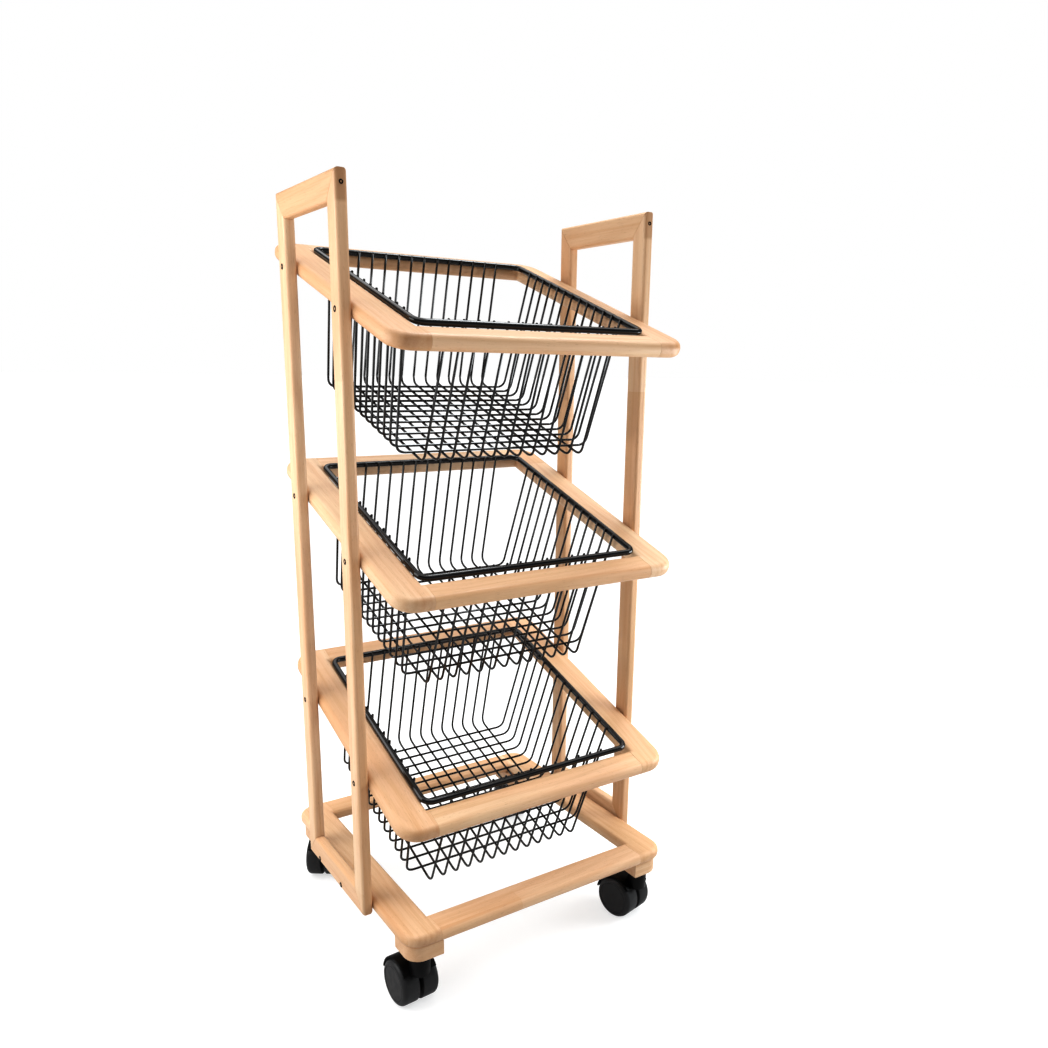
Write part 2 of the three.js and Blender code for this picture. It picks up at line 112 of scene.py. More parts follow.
# Baskets, in the plane of their tray
RIM_RADIUS = 0.003
RIM_LIFT = 0.0008
RIM_HEIGHT = TRAY["thickness"] / 2 + RIM_LIFT
RIM_CORNER = 0.009
RIM_CORNER_STEPS = 10
RIM_SIDES = 20
RIM_FRONT_SPACE = 0.004
RIM_SEAT = 0.0003
WIRE_RADIUS = 0.0012
WIRE_COUNT = 13
WIRE_SIDES = 10
WIRE_END = 0.002
WIRE_DOME_ANGLES = (15, 40, 65)
WIRE_SWAY = 0.0004
BASKET_DEPTH = 0.130
BASKET_FLARE = 0.0084
BASKET_BEND = 0.010
BASKET_BEND_POINTS = 9
FLOOR_MARGIN_X = 0.0185
FLOOR_MARGIN_Y = 0.020
WELD_OVERLAP = 0.0003
BEAD_STRETCH = 1.7
BEAD_ANGLES = (12, 45, 75, 105, 135, 168)
BEAD_SIDES = 8

# Screws
SCREW_HEAD = 0.00275
SCREW_PROUD = 0.0004
BASE_SCREW_FRONT = -0.017
BASE_SCREW_REAR = 0.042
BASE_SCREW_RISE = 0.0050
TOP_SCREW_HEAD = 0.0019
TOP_SCREW_DROP = 0.0105
SCREW_SIDES = 48

# Socket, head and shank: depth and radius as shares of the head's radius, and whether six-sided
SCREW_PROFILE = (
    (0.47, 0.102, True), (0.47, 0.51, True), (0.072, 0.51, True), (0, 0.5712, True), (0, 0.86, False),
    (0.036, 0.94, False), (0.18, 1, False), (0.58, 1, False), (0.58, 0.5, False), (2.2, 0.5, False),
)

# Wheels: the tread's inner edge as (in from the inner face, in from the tread), the step as (in from the
# outer face, in from the shoulder), the dome as (in from the outer face, share of the shoulder's radius)
WHEEL_RADIUS = 0.0223
WHEEL_SHOULDER = 0.0045
WHEEL_SHOULDER_END = 8
WHEEL_BORE = 0.0036
WHEEL_TREAD_EDGE = ((0, 0.0012), (0.0003, 0.0004), (0.001, 0))
WHEEL_STEP = ((0, -0.0001), (0.0001, 0.0002), (0.0006, 0.0005), (0.0007, 0.0009), (0.0003, 0.0014))
WHEEL_DOME = ((0.0002, 0.72), (0.0002, 0.42), (0.0001, 0.2))
WHEEL_MIDDLE = (0.0001, 0.0004)
LATHE_STEPS = 72

# Caster hoods: the cover's ends as (inset as a share of its edge, turn as a share of the edge's angle)
CASTER_TRAIL = 0.018
HOOD_SPACE = 0.001
HOOD_WALL = 0.002
HOOD_INSET = 0.002
HOOD_REAR = 10
HOOD_FRONT = 140
HOOD_EDGE = 0.0009
HOOD_ENDS = ((0.7, 0), (0.2, 0.4), (0, 1))
HOOD_STEPS = 33
WEB_SPACE = 0.0006
AXLE_RADIUS = 0.003
AXLE_SIDES = 24

# Caster necks: the grooves as (in from the neck's radius, down from its top)
NECK_RADIUS = 0.010
NECK_SIDES = 48
NECK_FOOT_SHARE = 0.98
NECK_FOOT_EDGE = 0.0004
NECK_GROOVES = (
    (0, 0.0046), (0.0006, 0.0042), (0.0006, 0.0032), (0, 0.0028), (0, 0.0010), (0.0006, 0.0004),
)
STEM_RADIUS = 0.0045
STEM_ROOT = 0.0003
STEM_LENGTH = 0.010

# Stage: soft boxes as (name, place, aim, watts, size, colour), and the brightness of the room and the floor
# for light that falls on the stand and for the camera
COOL_WHITE = (0.92, 0.97, 1.0)
SOFT_BOXES = (
    ("left_box", (-0.72, 0.16, 0.60), (0, 0.05, 0.45), 6.2, 0.70, (1.0, 1.0, 1.0)),
    ("right_box", (0.70, -0.40, 0.42), (0.1, -0.1, 0.28), 5.6, 0.40, COOL_WHITE),
    ("top_box", (0.45, 0.10, 1.50), (0.1, 0, 0.4), 5.5, 0.30, COOL_WHITE),
)
DOME_PLACE = (0.05, 0.15, 1.0)
DOME_STRENGTH = 3.05
DOME_ANGLE = math.radians(90)
ROOM_GLOW = (0.23, 1.0)
FLOOR_GLOW = (0.22, 0.66)
FLOOR_GREY = 0.42
FLOOR_ROUGH = 0.9
FLOOR_REACH = 40.0

# Wood staves and growth rings
STAVE_WIDTH = 0.047
STAVE_LENGTH = 0.48
STAVE_STAGGER = 0.61
RING_SPACING = 0.0078
RING_WAVER = 0.048
RING_WAVER_STRETCH = (4, 16, 16)
RING_OVAL = (0, 1, 0.8)
RING_RANGE = (-0.4, 1.0)

# Marks in the wood: stretch of their noise, its detail and roughness, and the range of it that counts
WOOD_MARKS = {
    "flame": ((5, 40, 40), 3, 0.6, 0.50, 0.72),
    "streak": ((3, 170, 170), 2, 0.5, 0.54, 0.72),
    "fibre": ((22, 800, 800), 3, 0.6, 0.36, 0.68),
    "pores": ((170, 2600, 2600), 1, 0.5, 0.66, 0.74),
}

# Their strength and screen colour, in the order in which they are laid on
WOOD_LAYERS = (
    ("flame", 0.30, (200, 148, 98)), ("rings", 0.15, (184, 130, 82)), ("streak", 0.30, (196, 140, 92)),
    ("fibre", 0.14, (182, 128, 82)), ("pores", 0.35, (126, 78, 44)),
)

# Screen colours of the staves, of a slow drift over them, of painted shade on the rounded edges and of end
# grain mixed with painted shade at the rail ends, with their shares
STAVE_TONES = ((210, 169, 127), (230, 202, 169))
STAVE_SHARE = (0.1, 0.9)
DRIFT_TONE = (223, 179, 143)
DRIFT_SHARE = (0.0, 0.6)
DRIFT_RANGE = (0.3, 0.7)
DRIFT_STRETCH = (6, 30, 30)
# Painted shade that darkens the rounded edges
EDGE_SHADE_TONE = (182, 128, 74)
EDGE_SHADE_SHARE = (0.05, 0.24)
# End grain darkened further by painted shade at the rail ends
END_GRAIN_SHADE_TONE = (146, 96, 52)
END_GRAIN_SHADE_SHARE = (0.12, 0.50)

# Surface and lacquer of the wood, and the speckle on black pieces
WOOD_ROUGH = (0.40, 0.54)
FIBRE_HEIGHT = 0.4
WOOD_BUMP = (0.25, 0.0002)
WOOD_GLOSS = 0.35
LACQUER = 0.08
LACQUER_ROUGH = 0.3
SPECKLE_BROAD = 0.06
SPECKLE_RANGE = (0.3, 0.7)
SPECKLE_DEPTH = 0.0001

# Contrast of the finished picture
PRINT_GAMMA = 0.8

# The photograph's camera, from the middle of the stand
CAMERA_PLACE = (-0.44869, STAND_Y - 0.791875, 0.595352)
CAMERA_YAW = math.radians(34.7917)
CAMERA_PITCH = math.radians(-14.086)
CAMERA_ROLL = math.radians(1.0505)
SENSOR_WIDTH = 36
IMAGE_SIZE = 1048
FOCAL_PIXELS = 886.28
CENTRE_PIXELS = (552.58, 589.25)


def linear(red, green, blue):
    """A colour from its 0 to 255 screen values, as linear light with alpha 1."""
    screen = np.array([red, green, blue]) / 255
    light = np.where(screen > 0.04045, ((screen + 0.055) / 1.055) ** 2.4, screen / 12.92)
    return (*light.tolist(), 1.0)


# Mesh helpers

class Shape(NamedTuple):
    """A mesh: its points, the point numbers round each face in turn, and each face's count of corners."""

    points: np.ndarray
    corners: np.ndarray
    counts: np.ndarray


def face_steps(shape):
    """For each corner: where its face starts, its face's count, and its own step round the face."""
    starts = np.cumsum(shape.counts) - shape.counts
    start, count = np.repeat(starts, shape.counts), np.repeat(shape.counts, shape.counts)
    return start, count, np.arange(len(shape.corners)) - start


def volume_inside(shape):
    """Volume inside the faces, negative where they point inwards: the sum of a . (b x c) / 6 over fans."""
    start, count, step = face_steps(shape)
    first = shape.points[shape.corners[start]]
    here = shape.points[shape.corners]
    after = shape.points[shape.corners[start + (step + 1) % count]]
    return np.einsum("ij,ij->", first, np.cross(here, after)) / 6


def facing_out(shape):
    """The same shape, with the corners of every face in reverse order if its volume came out negative."""
    if volume_inside(shape) >= 0:
        return shape
    start, count, step = face_steps(shape)
    return shape._replace(corners=shape.corners[start + count - 1 - step])


def loft(rings, closed=False):
    """Rings of points, rows by columns by 3, skinned with quads; open ends get a flat face."""
    rows, columns = rings.shape[:2]
    spans = rows if closed else rows - 1
    row, column = np.meshgrid(np.arange(spans), np.arange(columns), indexing="ij")
    here, below = row * columns, (row + 1) % rows * columns
    beside = (column + 1) % columns
    corners = np.stack([here + column, here + beside, below + beside, below + column], axis=-1).ravel()
    counts = np.full(spans * columns, 4)
    if not closed:
        ring = np.arange(columns)
        corners = np.concatenate([corners, ring[::-1], ring + (rows - 1) * columns])
        counts = np.concatenate([counts, [columns, columns]])
    return facing_out(Shape(rings.reshape(-1, 3), corners, counts))


def joined(shapes):
    """Several shapes as one, the corners of each renumbered after the points before it."""
    starts = np.cumsum([0] + [len(shape.points) for shape in shapes])
    return Shape(
        np.concatenate([shape.points for shape in shapes]),
        np.concatenate([shape.corners + start for shape, start in zip(shapes, starts)]),
        np.concatenate([shape.counts for shape in shapes]),
    )


def point_normals(shape):
    """A normal at each point: the sum of (next - here) x (last - here) over its corners, at length one."""
    start, count, step = face_steps(shape)
    here = shape.points[shape.corners]
    after = shape.points[shape.corners[start + (step + 1) % count]]
    before = shape.points[shape.corners[start + (step - 1) % count]]
    normals = np.zeros_like(shape.points)
    np.add.at(normals, shape.corners, np.cross(after - here, before - here))
    return normals / np.maximum(np.linalg.norm(normals, axis=-1, keepdims=True), 1e-15)


def moved(shape, matrix):
    """A shape carried by a 4 by 4 matrix."""
    m = np.array(matrix)
    return facing_out(shape._replace(points=shape.points @ m[:3, :3].T + m[:3, 3]))


def add_piece(name, shape, material, body, node=None):
    """A smooth-shaded mesh object for a shape, riding on a body and standing for a node if it has one."""
    mesh = bpy.data.meshes.new(name)
    mesh.vertices.add(len(shape.points))
    mesh.vertices.foreach_set("co", shape.points.astype(np.float32).ravel())
    mesh.loops.add(len(shape.corners))
    mesh.loops.foreach_set("vertex_index", shape.corners.astype(np.int32))
    mesh.polygons.add(len(shape.counts))
    mesh.polygons.foreach_set("loop_start", (np.cumsum(shape.counts) - shape.counts).astype(np.int32))
    mesh.update(calc_edges=True)
    mesh.shade_smooth()
    mesh.set_sharp_from_angle(angle=math.radians(SHARP_ANGLE))
    mesh.materials.append(material)
    piece = bpy.data.objects.new(name, mesh)
    bpy.context.scene.collection.objects.link(piece)
    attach(piece, body)
    if node:
        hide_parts(node)
    return piece


def add_attribute(piece, name, values):
    """Stores one number or one vector for each point of a piece."""
    kind, field = ("FLOAT", "value") if values.ndim == 1 else ("FLOAT_VECTOR", "vector")
    attribute = piece.data.attributes.new(name, kind, "POINT")
    attribute.data.foreach_set(field, values.astype(np.float32).ravel())


def arc(centre, radius, start, end, steps=ARC_STEPS):
    """Points centre + radius (cos a, sin a), for a from start to end in degrees."""
    angle = np.radians(np.linspace(start, end, steps + 1))
    return np.array(centre) + radius * np.stack([np.cos(angle), np.sin(angle)], axis=-1)


def rounded_rectangle(width, depth, radius, inset=0.0):
    """A rectangle about the origin with an arc at each corner and a point just past each arc."""
    half_w, half_d, r = width / 2 - inset, depth / 2 - inset, radius - inset
    stretches = []
    for sx, sy, start in CORNERS:
        bend = arc((sx * (half_w - r), sy * (half_d - r)), r, start, start + 90)
        cos, sin = math.cos(math.radians(start)), math.sin(math.radians(start))
        before = bend[:1] + BOARD_FLAT_MARGIN * np.array([sin, -cos])
        after = bend[-1:] - BOARD_FLAT_MARGIN * np.array([cos, sin])
        stretches += [before, bend, after]
    return np.concatenate(stretches)


def edge_profile(thickness, radius):
    """Height and inset of a board's rounded edge, from the lower face round to the upper one."""
    bend = arc((0, thickness / 2 - radius), radius, 0, 90)
    upper = np.stack([bend[:, 1], radius - bend[:, 0]], axis=-1)
    upper = np.concatenate([upper, [[thickness / 2, radius + BOARD_FLAT_MARGIN]]])
    return np.concatenate([upper[::-1] * [-1, 1], upper])


def board(outline, inward, thickness, edge):
    """A flat board with rounded edges: outline + inset x inward at each height of the edge profile."""
    profile = edge_profile(thickness, edge)
    flat = outline[None] + profile[:, 1, None, None] * inward[None]
    height = np.broadcast_to(profile[:, 0, None, None], (*flat.shape[:2], 1))
    return loft(np.concatenate([flat, height], axis=-1))


# Wooden pieces

def bar_rings(width, depth, edge, levels):
    """Rounded rectangles stacked along Z, each slanting from its height near at -Y to its height far at +Y.

    z = near + (far - near)(y / depth + 1/2), for levels of (inset, near, far).
    """
    rings = []
    for inset, near, far in levels:
        ring = rounded_rectangle(width, depth, edge, inset)
        rings.append(np.column_stack([ring, near + (far - near) * (ring[:, 1] / depth + 0.5)]))
    return np.array(rings)


def mitred_bar(thickness, depth, length, end_loss):
    """A bar along Z with rounded edges; at its +Y side each end is end_loss shorter than at -Y."""
    line, half = BAR_END_LINE, length / 2
    upper = [
        (0, half - end_loss * share, half - end_loss * (share + PATCH_SLOPE)) for share in PATCH_RINGS
    ]
    upper += [(0, half - line, half - line - end_loss), (line, half, half - end_loss)]
    lower = [(inset, -near, -far) for inset, near, far in upper[::-1]]
    return loft(bar_rings(thickness, depth, BAR_EDGE, lower + upper))


def straight_bar(width, depth, length, edge):
    """A bar along Z with rounded edges and square ends, the end arrises just broken."""
    line, half = BAR_END_LINE, length / 2
    levels = [(line, -half, -half), (0, line - half, line - half)]
    levels += [(inset, -near, -far) for inset, near, far in levels[::-1]]
    return loft(bar_rings(width, depth, edge, levels))


def side_board(size):
    """The left rail of a flat frame: round outer corners, inner edge rounded along the opening only."""
    outer, inner = -INSIDE_HALF, -INSIDE_HALF + size["side"]
    half, r = size["length"] / 2, size["corner"]
    gap = half - size["end"]
    bends, inwards = [], []
    for y, start, end in ((r - half, 270, 180), (half - r, 180, 90)):
        bends.append(arc((outer + r, y), r, start, end))
        inwards.append((np.array([outer + r, y]) - bends[-1]) / r)
    joint = [[inner, half], [inner, gap], [inner, gap], [inner, -gap], [inner, -gap]]
    joint_inward = [[0, -1], [0, 1], [-1, 1], [-1, -1], [0, -1]]
    outline = np.concatenate([[[inner, -half]], *bends, joint])
    inward = np.concatenate([[[0, 1]], *inwards, joint_inward])
    return board(outline, inward, size["thickness"], size["edge"])


def end_board(size):
    """The front rail of a flat frame, a bar along X between the side rails."""
    length = 2 * (INSIDE_HALF - size["side"] - BOARD_JOINT)
    bar = straight_bar(size["end"], size["thickness"], length, size["edge"])
    place = Matrix.Translation((0, -size["length"] / 2 + size["end"] / 2, 0))
    turn = Matrix(((0, 0, 1, 0), (1, 0, 0, 0), (0, 1, 0, 0), (0, 0, 0, 1)))
    return moved(bar, place @ turn)


def add_wood(node, kind, shape, along, matrix, end_mask=None):
    """A wooden piece in its place, with what its material reads at each point.

    The grain coordinates run along one of the piece's own axes, from its own place in the log; the edge value
    is (1 - largest part of the normal) / (1 - sqrt 0.5), so 0 on a flat face and 1 half way round an edge.
    """
    local = shape.points
    piece = add_piece(f"{node}_{kind}", moved(shape, matrix), WOOD, "frame", node)
    order = {"x": (0, 1, 2), "y": (1, 0, 2), "z": (2, 0, 1)}[along]
    shift = draw.uniform(-LOG_SPREAD, LOG_SPREAD)
    add_attribute(piece, "grain", local[:, order] + shift)
    # End grain, mixed with painted shade that is strongest at the left rail ends
    add_attribute(piece, "end_grain_and_shade", np.zeros(len(local)) if end_mask is None else end_mask)
    slant = 1 - np.abs(point_normals(shape)).max(axis=-1)
    # How far round an edge each point lies, which sets the painted shade on rounded edges
    add_attribute(piece, "edge", np.clip(slant / FULL_SLANT, 0, 1))


def side_frames():
    """Posts and rails of the two side frames, each with slanting ends that meet at the corners."""
    for side in ("left", "right"):
        for end, way in (("front", 1), ("rear", -1)):
            node = f"{side}_{end}_post"
            low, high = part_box(node)
            size = high - low
            shape = mitred_bar(size.x, size.y, size.z + BOARD_JOINT, FRAME_RAIL_HEIGHT)
            place = Matrix.Translation((high + low) / 2) @ Matrix.Diagonal((1, way, 1, 1))
            in_patch = shape.points[:, 2] > size.z / 2 - FRAME_RAIL_HEIGHT
            on_face = np.clip((-shape.points[:, 1] - size.y / 2 + BAR_EDGE) / BAR_EDGE, 0, 1)
            add_wood(node, "bar", shape, "z", place, TOP_PATCH * in_patch * on_face if way > 0 else None)
        for end, way in (("top", -1), ("bottom", 1)):
            node = f"{side}_{end}_rail"
            low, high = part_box(node)
            size = high - low
            shape = mitred_bar(size.x, size.z, size.y + BOARD_JOINT, POST_DEPTH)
            turn = Matrix(((1, 0, 0, 0), (0, 0, 1, 0), (0, way, 0, 0), (0, 0, 0, 1)))
            add_wood(node, "bar", shape, "z", Matrix.Translation((high + low) / 2) @ turn)


def flat_frame(prefix, size, matrix):
    """Four rails round an opening: the side rails run through, the end rails sit between them."""
    side, end = side_board(size), end_board(size)
    ends_at = size["length"] / 2 - size["edge"]
    # End grain at the rail ends, with painted shade: darker at the left ends than at the right ones
    mask = np.clip((np.abs(side.points[:, 1]) - ends_at) / size["edge"] * END_GRAIN_AND_SHADE_STEEP, 0, 1)
    for name, flip in (("left", 1), ("right", -1)):
        place = matrix @ Matrix.Diagonal((flip, 1, 1, 1))
        add_wood(f"{prefix}_{name}_rail", "board", side, "y", place, mask * END_GRAIN_AND_SHADE[name])
    for name, flip in (("front", 1), ("rear", -1)):
        place = matrix @ Matrix.Diagonal((1, flip, 1, 1))
        add_wood(f"{prefix}_{name}_rail", "board", end, "x", place)


def base_matrix():
    """Carries the base from its own plane to its height in the stand."""
    return Matrix.Translation((0, STAND_Y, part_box("base_left_rail")[0].z + BASE["thickness"] / 2))


def tray_matrix(tier):
    """Carries a tray from its own plane to its slope and height; its screws lie on its middle plane."""
    height = (middle_of(f"{tier}_left_front_screw").z + middle_of(f"{tier}_left_rear_screw").z) / 2
    turn = Matrix.Rotation(TRAY_TILT, 4, "X")
    return Matrix.Translation((0, STAND_Y, height)) @ turn @ Matrix.Translation((0, -TRAY_SHIFT, 0))


def caster_blocks():
    """Blocks under the base corners, the outer corner rounded like the base above."""
    for end, way in (("front", -1), ("rear", 1)):
        for side, sign in (("left", -1), ("right", 1)):
            node = f"{end}_{side}_caster_block"
            low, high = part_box(node)
            size, middle = high - low, (high + low) / 2
            half, r = size.x / 2, BASE["corner"] - (INSIDE_HALF - abs(middle.x) - size.x / 2)
            centre = np.array([half - r, half - r])
            bend = arc(centre, r, 0, 90)
            outline = np.concatenate([[[-half, -half], [half, -half]], bend, [[-half, half]]])
            inward = np.concatenate([[[1, 1], [-1, 1]], (centre - bend) / r, [[1, -1]]])
            shape = board(outline, inward, size.z, BLOCK_EDGE)
            place = Matrix.Translation(middle) @ Matrix.Diagonal((sign, way, 1, 1))
            add_wood(node, "board", shape, "x", place)


# Baskets

def unit(vectors):
    """Vectors at length one."""
    return vectors / np.linalg.norm(vectors, axis=-1, keepdims=True)


def round_bar(path, across, radius, sides, closed=False):
    """Circles of one radius square to a flat path: point + radius (cos a n + sin a across)."""
    before = np.roll(path, 1, axis=0) if closed else np.vstack([path[:1] * 2 - path[1:2], path[:-1]])
    after = np.roll(path, -1, axis=0) if closed else np.vstack([path[1:], path[-1:] * 2 - path[-2:-1]])
    go = unit(after - path)
    along = unit(unit(path - before) + go)
    stretch = 1 / np.einsum("ij,ij->i", along, go)
    normal = np.cross(across, along) * stretch[:, None]
    angle = np.linspace(0, 2 * math.pi, sides, endpoint=False)
    rings = normal[:, None] * np.cos(angle)[None, :, None] + np.array(across) * np.sin(angle)[None, :, None]
    return path[:, None] + radius * rings


def domed_bar(path, across, radius, sides):
    """A round bar whose two ends are half spheres: radius sin b at radius cos b past the end."""
    body = round_bar(path, across, radius, sides)
    bend = np.radians(WIRE_DOME_ANGLES)[:, None, None]
    domes = []
    for tip, inner, ring in ((path[0], path[1], body[0]), (path[-1], path[-2], body[-1])):
        domes.append(tip + unit(tip - inner) * radius * np.cos(bend) + (ring - tip) * np.sin(bend))
    return np.concatenate([domes[0], body, domes[1][::-1]])


def basket_layout():
    """Half spans of the rim and its middle, in the plane of the tray.

    Over the rounded tray edge, the rim's middle stands edge + rim radius + seat from the middle of the round.
    """
    reach = TRAY["edge"] + RIM_RADIUS + RIM_SEAT
    tuck = math.sqrt(reach**2 - (RIM_HEIGHT - TRAY["thickness"] / 2 + TRAY["edge"]) ** 2) - TRAY["edge"]
    half_x = INSIDE_HALF - TRAY["side"] - tuck
    opening = TRAY["length"] / 2 - TRAY["end"]
    front, rear = -opening + RIM_FRONT_SPACE, opening - tuck
    return half_x, (rear - front) / 2, (rear + front) / 2


def rim_shape():
    """A round bar along a rectangle with round corners, closed on itself and level with the tray."""
    half_x, half_y, middle = basket_layout()
    r = RIM_CORNER
    flat = np.concatenate([
        arc((sx * (half_x - r), sy * (half_y - r)), r, start, start + 90, RIM_CORNER_STEPS)
        for sx, sy, start in CORNERS
    ])
    path = np.column_stack([flat[:, 0], flat[:, 1] + middle, np.full(len(flat), RIM_HEIGHT)])
    return loft(round_bar(path, (0, 0, 1), RIM_RADIUS, RIM_SIDES), closed=True)


def wire_line(half, floor):
    """One bent wire, flat: down a leaning wall, round a bend p0 (1-t)^2 + 2 p1 t(1-t) + p2 t^2, along."""
    slope = BASKET_FLARE / (RIM_HEIGHT - floor)
    corner = np.array([half - BASKET_FLARE, floor])
    wall = unit(np.array([slope, 1]))
    reach = BASKET_BEND * math.tan((math.pi / 2 - math.atan(slope)) / 2)
    t = np.linspace(0, 1, BASKET_BEND_POINTS)[:, None]
    bend = (corner - [reach, 0]) * (1 - t) ** 2 + 2 * corner * t * (1 - t) + (corner + wall * reach) * t**2
    right = np.concatenate([bend, [[half + slope * WIRE_END, RIM_HEIGHT + WIRE_END]]])
    return np.concatenate([right[::-1] * [-1, 1], right])


def wire_set(half, floor, spread, along):
    """Equal bent wires side by side, each leaning a hair to one side as hand-welded ones do.

    A wire's points move sideways by offset + sway x (height above the floor / height of the basket).
    """
    line = wire_line(half, floor)
    zero = np.zeros(len(line))
    path = np.column_stack([zero, line] if along == "y" else [line[:, 0], zero, line[:, 1]])
    across = (1, 0, 0) if along == "y" else (0, 1, 0)
    bar = domed_bar(path, across, WIRE_RADIUS, WIRE_SIDES)
    rise = (bar[..., 2] - floor) / (RIM_HEIGHT - floor)
    shapes = []
    for offset in np.linspace(-spread, spread, WIRE_COUNT):
        sway = draw.uniform(-WIRE_SWAY, WIRE_SWAY) * rise
        shapes.append(loft(bar + (offset + sway)[..., None] * np.array(across)))
    return shapes


def weld_bead(place, size):
    """A small ellipsoid: place + size (cos a sin b, sin a sin b, cos b)."""
    b = np.radians(BEAD_ANGLES)[:, None]
    a = np.linspace(0, 2 * math.pi, BEAD_SIDES, endpoint=False)[None]
    ball = np.stack([np.cos(a) * np.sin(b), np.sin(a) * np.sin(b), np.cos(b) + 0 * a], axis=-1)
    return loft(np.array(place) + ball * np.array(size))


def wires_shape():
    """The welded mesh of a basket: wires front to back below, wires across above, beads at the rim."""
    half_x, half_y, middle = basket_layout()
    inset = RIM_RADIUS + WIRE_RADIUS - WELD_OVERLAP
    wire_x, wire_y = half_x - inset, half_y - inset
    floor = RIM_HEIGHT - BASKET_DEPTH
    upper = floor + 2 * WIRE_RADIUS - WELD_OVERLAP
    spread_x = wire_x - BASKET_FLARE - FLOOR_MARGIN_X
    spread_y = wire_y - BASKET_FLARE - FLOOR_MARGIN_Y
    shapes = wire_set(wire_y, floor, spread_x, "y") + wire_set(wire_x, upper, spread_y, "x")
    bead = WIRE_RADIUS * np.array([1, 1, BEAD_STRETCH])
    for sign in (-1, 1):
        for place in np.linspace(-spread_x, spread_x, WIRE_COUNT):
            shapes.append(weld_bead((place, sign * (wire_y + WIRE_RADIUS), RIM_HEIGHT), bead))
        for place in np.linspace(-spread_y, spread_y, WIRE_COUNT):
            shapes.append(weld_bead((sign * (wire_x + WIRE_RADIUS), place, RIM_HEIGHT), bead))
    return moved(joined(shapes), Matrix.Translation((0, middle, 0)))


def baskets():
    """A rim and a wire mesh for each tray."""
    for name, shape in (("rim", rim_shape()), ("wires", wires_shape())):
        for tier in TIERS:
            node, body = f"{tier}_basket_{name}", f"{tier}_basket"
            add_piece(f"{node}_rod", moved(shape, tray_matrix(tier)), COATED_WIRE, body, node)


# Screws

def screw_shape(head):
    """A flat head with a six-sided socket and a shank, about X, with its face towards -X.

    Rings of (depth, r cos a, r sin a); in the socket r is scaled by cos 30 / cos(a within its sixth - 30).
    """
    angle = np.linspace(0, 2 * math.pi, SCREW_SIDES, endpoint=False)
    sector = math.pi / 3
    six = math.cos(sector / 2) / np.cos((angle % sector) - sector / 2)
    rings = []
    for depth, radius, six_sided in SCREW_PROFILE:
        reach = head * radius * (six if six_sided else np.ones_like(angle))
        x = np.full_like(angle, head * depth)
        rings.append(np.stack([x, reach * np.cos(angle), reach * np.sin(angle)], axis=-1))
    return loft(np.array(rings))


def add_screw(name, shape, place, turn, node=None):
    """A black screw at a place on the frame."""
    matrix = Matrix.Translation(place) @ turn
    add_piece(f"{name}_head", moved(shape, matrix), BLACK_SCREW, "frame", node)


def screws():
    """Screws through the posts, through the bottom rails, and into the tops of the front posts."""
    shape, small = screw_shape(SCREW_HEAD), screw_shape(TOP_SCREW_HEAD)
    rail_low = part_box("left_bottom_rail")[0].z
    for side, sign in (("left", -1), ("right", 1)):
        turn = Matrix.Diagonal((-sign, 1, 1, 1))
        outside = sign * (CAD_HIGH.x + SCREW_PROUD)
        for end, y in (("front", BASE_SCREW_FRONT), ("rear", BASE_SCREW_REAR)):
            for tier in TIERS:
                node = f"{tier}_{side}_{end}_screw"
                middle = middle_of(node)
                add_screw(node, shape, (outside, middle.y, middle.z), turn, node)
            place = (outside, STAND_Y + y, rail_low + BASE_SCREW_RISE)
            add_screw(f"base_{side}_{end}_screw", shape, place, turn)
        low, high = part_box(f"{side}_front_post")
        place = ((low.x + high.x) / 2, low.y - SCREW_PROUD, high.z - TOP_SCREW_DROP)
        add_screw(f"{side}_post_top_screw", small, place, Matrix.Rotation(math.pi / 2, 4, "Z"))


# Casters

def lathe_x(profile, steps=LATHE_STEPS):
    """A profile of (x, radius) points turned about X: (x, radius cos a, radius sin a)."""
    angle = np.linspace(0, 2 * math.pi, steps, endpoint=False)
    x = np.broadcast_to(profile[:, 0, None], (len(profile), steps))
    return np.stack([x, profile[:, 1, None] * np.cos(angle), profile[:, 1, None] * np.sin(angle)], axis=-1)


def wheel_shape(width):
    """A wheel about X, outer face at +X: tread, round shoulder, a step down to a gently domed face."""
    half, r = width / 2, WHEEL_RADIUS
    bend = arc((half - WHEEL_SHOULDER, r - WHEEL_SHOULDER), WHEEL_SHOULDER, 90, WHEEL_SHOULDER_END)
    face = r - WHEEL_SHOULDER
    profile = np.concatenate([
        [[-half, WHEEL_BORE]],
        [[inset - half, r - drop] for inset, drop in WHEEL_TREAD_EDGE],
        bend,
        [[half - inset, face - drop] for inset, drop in WHEEL_STEP],
        [[half - inset, face * share] for inset, share in WHEEL_DOME],
        [[half - WHEEL_MIDDLE[0], WHEEL_MIDDLE[1]]],
    ])
    return loft(lathe_x(profile))


def sector_plate(inner, outer, width, edge):
    """A band of a ring about the wheel axle with a rounded section and soft ends, over the hood's angles.

    A section of (u, v) points at angle a goes to x = u, y = trail + (middle radius + v) cos a and
    z = axle + (middle radius + v) sin a.
    """
    soft = math.degrees(HOOD_EDGE / outer)
    ends = edge * np.array([inset for inset, turn in HOOD_ENDS])
    turns = soft * np.array([turn for inset, turn in HOOD_ENDS])
    along = np.linspace(HOOD_REAR + 2 * soft, HOOD_FRONT - 2 * soft, HOOD_STEPS)
    insets = np.concatenate([ends, np.zeros(HOOD_STEPS), ends[::-1]])
    section = np.array([rounded_rectangle(width, outer - inner, edge, inset) for inset in insets])
    angle = np.radians(np.concatenate([HOOD_REAR + turns, along, HOOD_FRONT - turns[::-1]]))[:, None]
    radius = (inner + outer) / 2 + section[..., 1]
    y = CASTER_TRAIL + radius * np.cos(angle)
    z = WHEEL_RADIUS + radius * np.sin(angle)
    return loft(np.stack([section[..., 0], y, z], axis=-1))


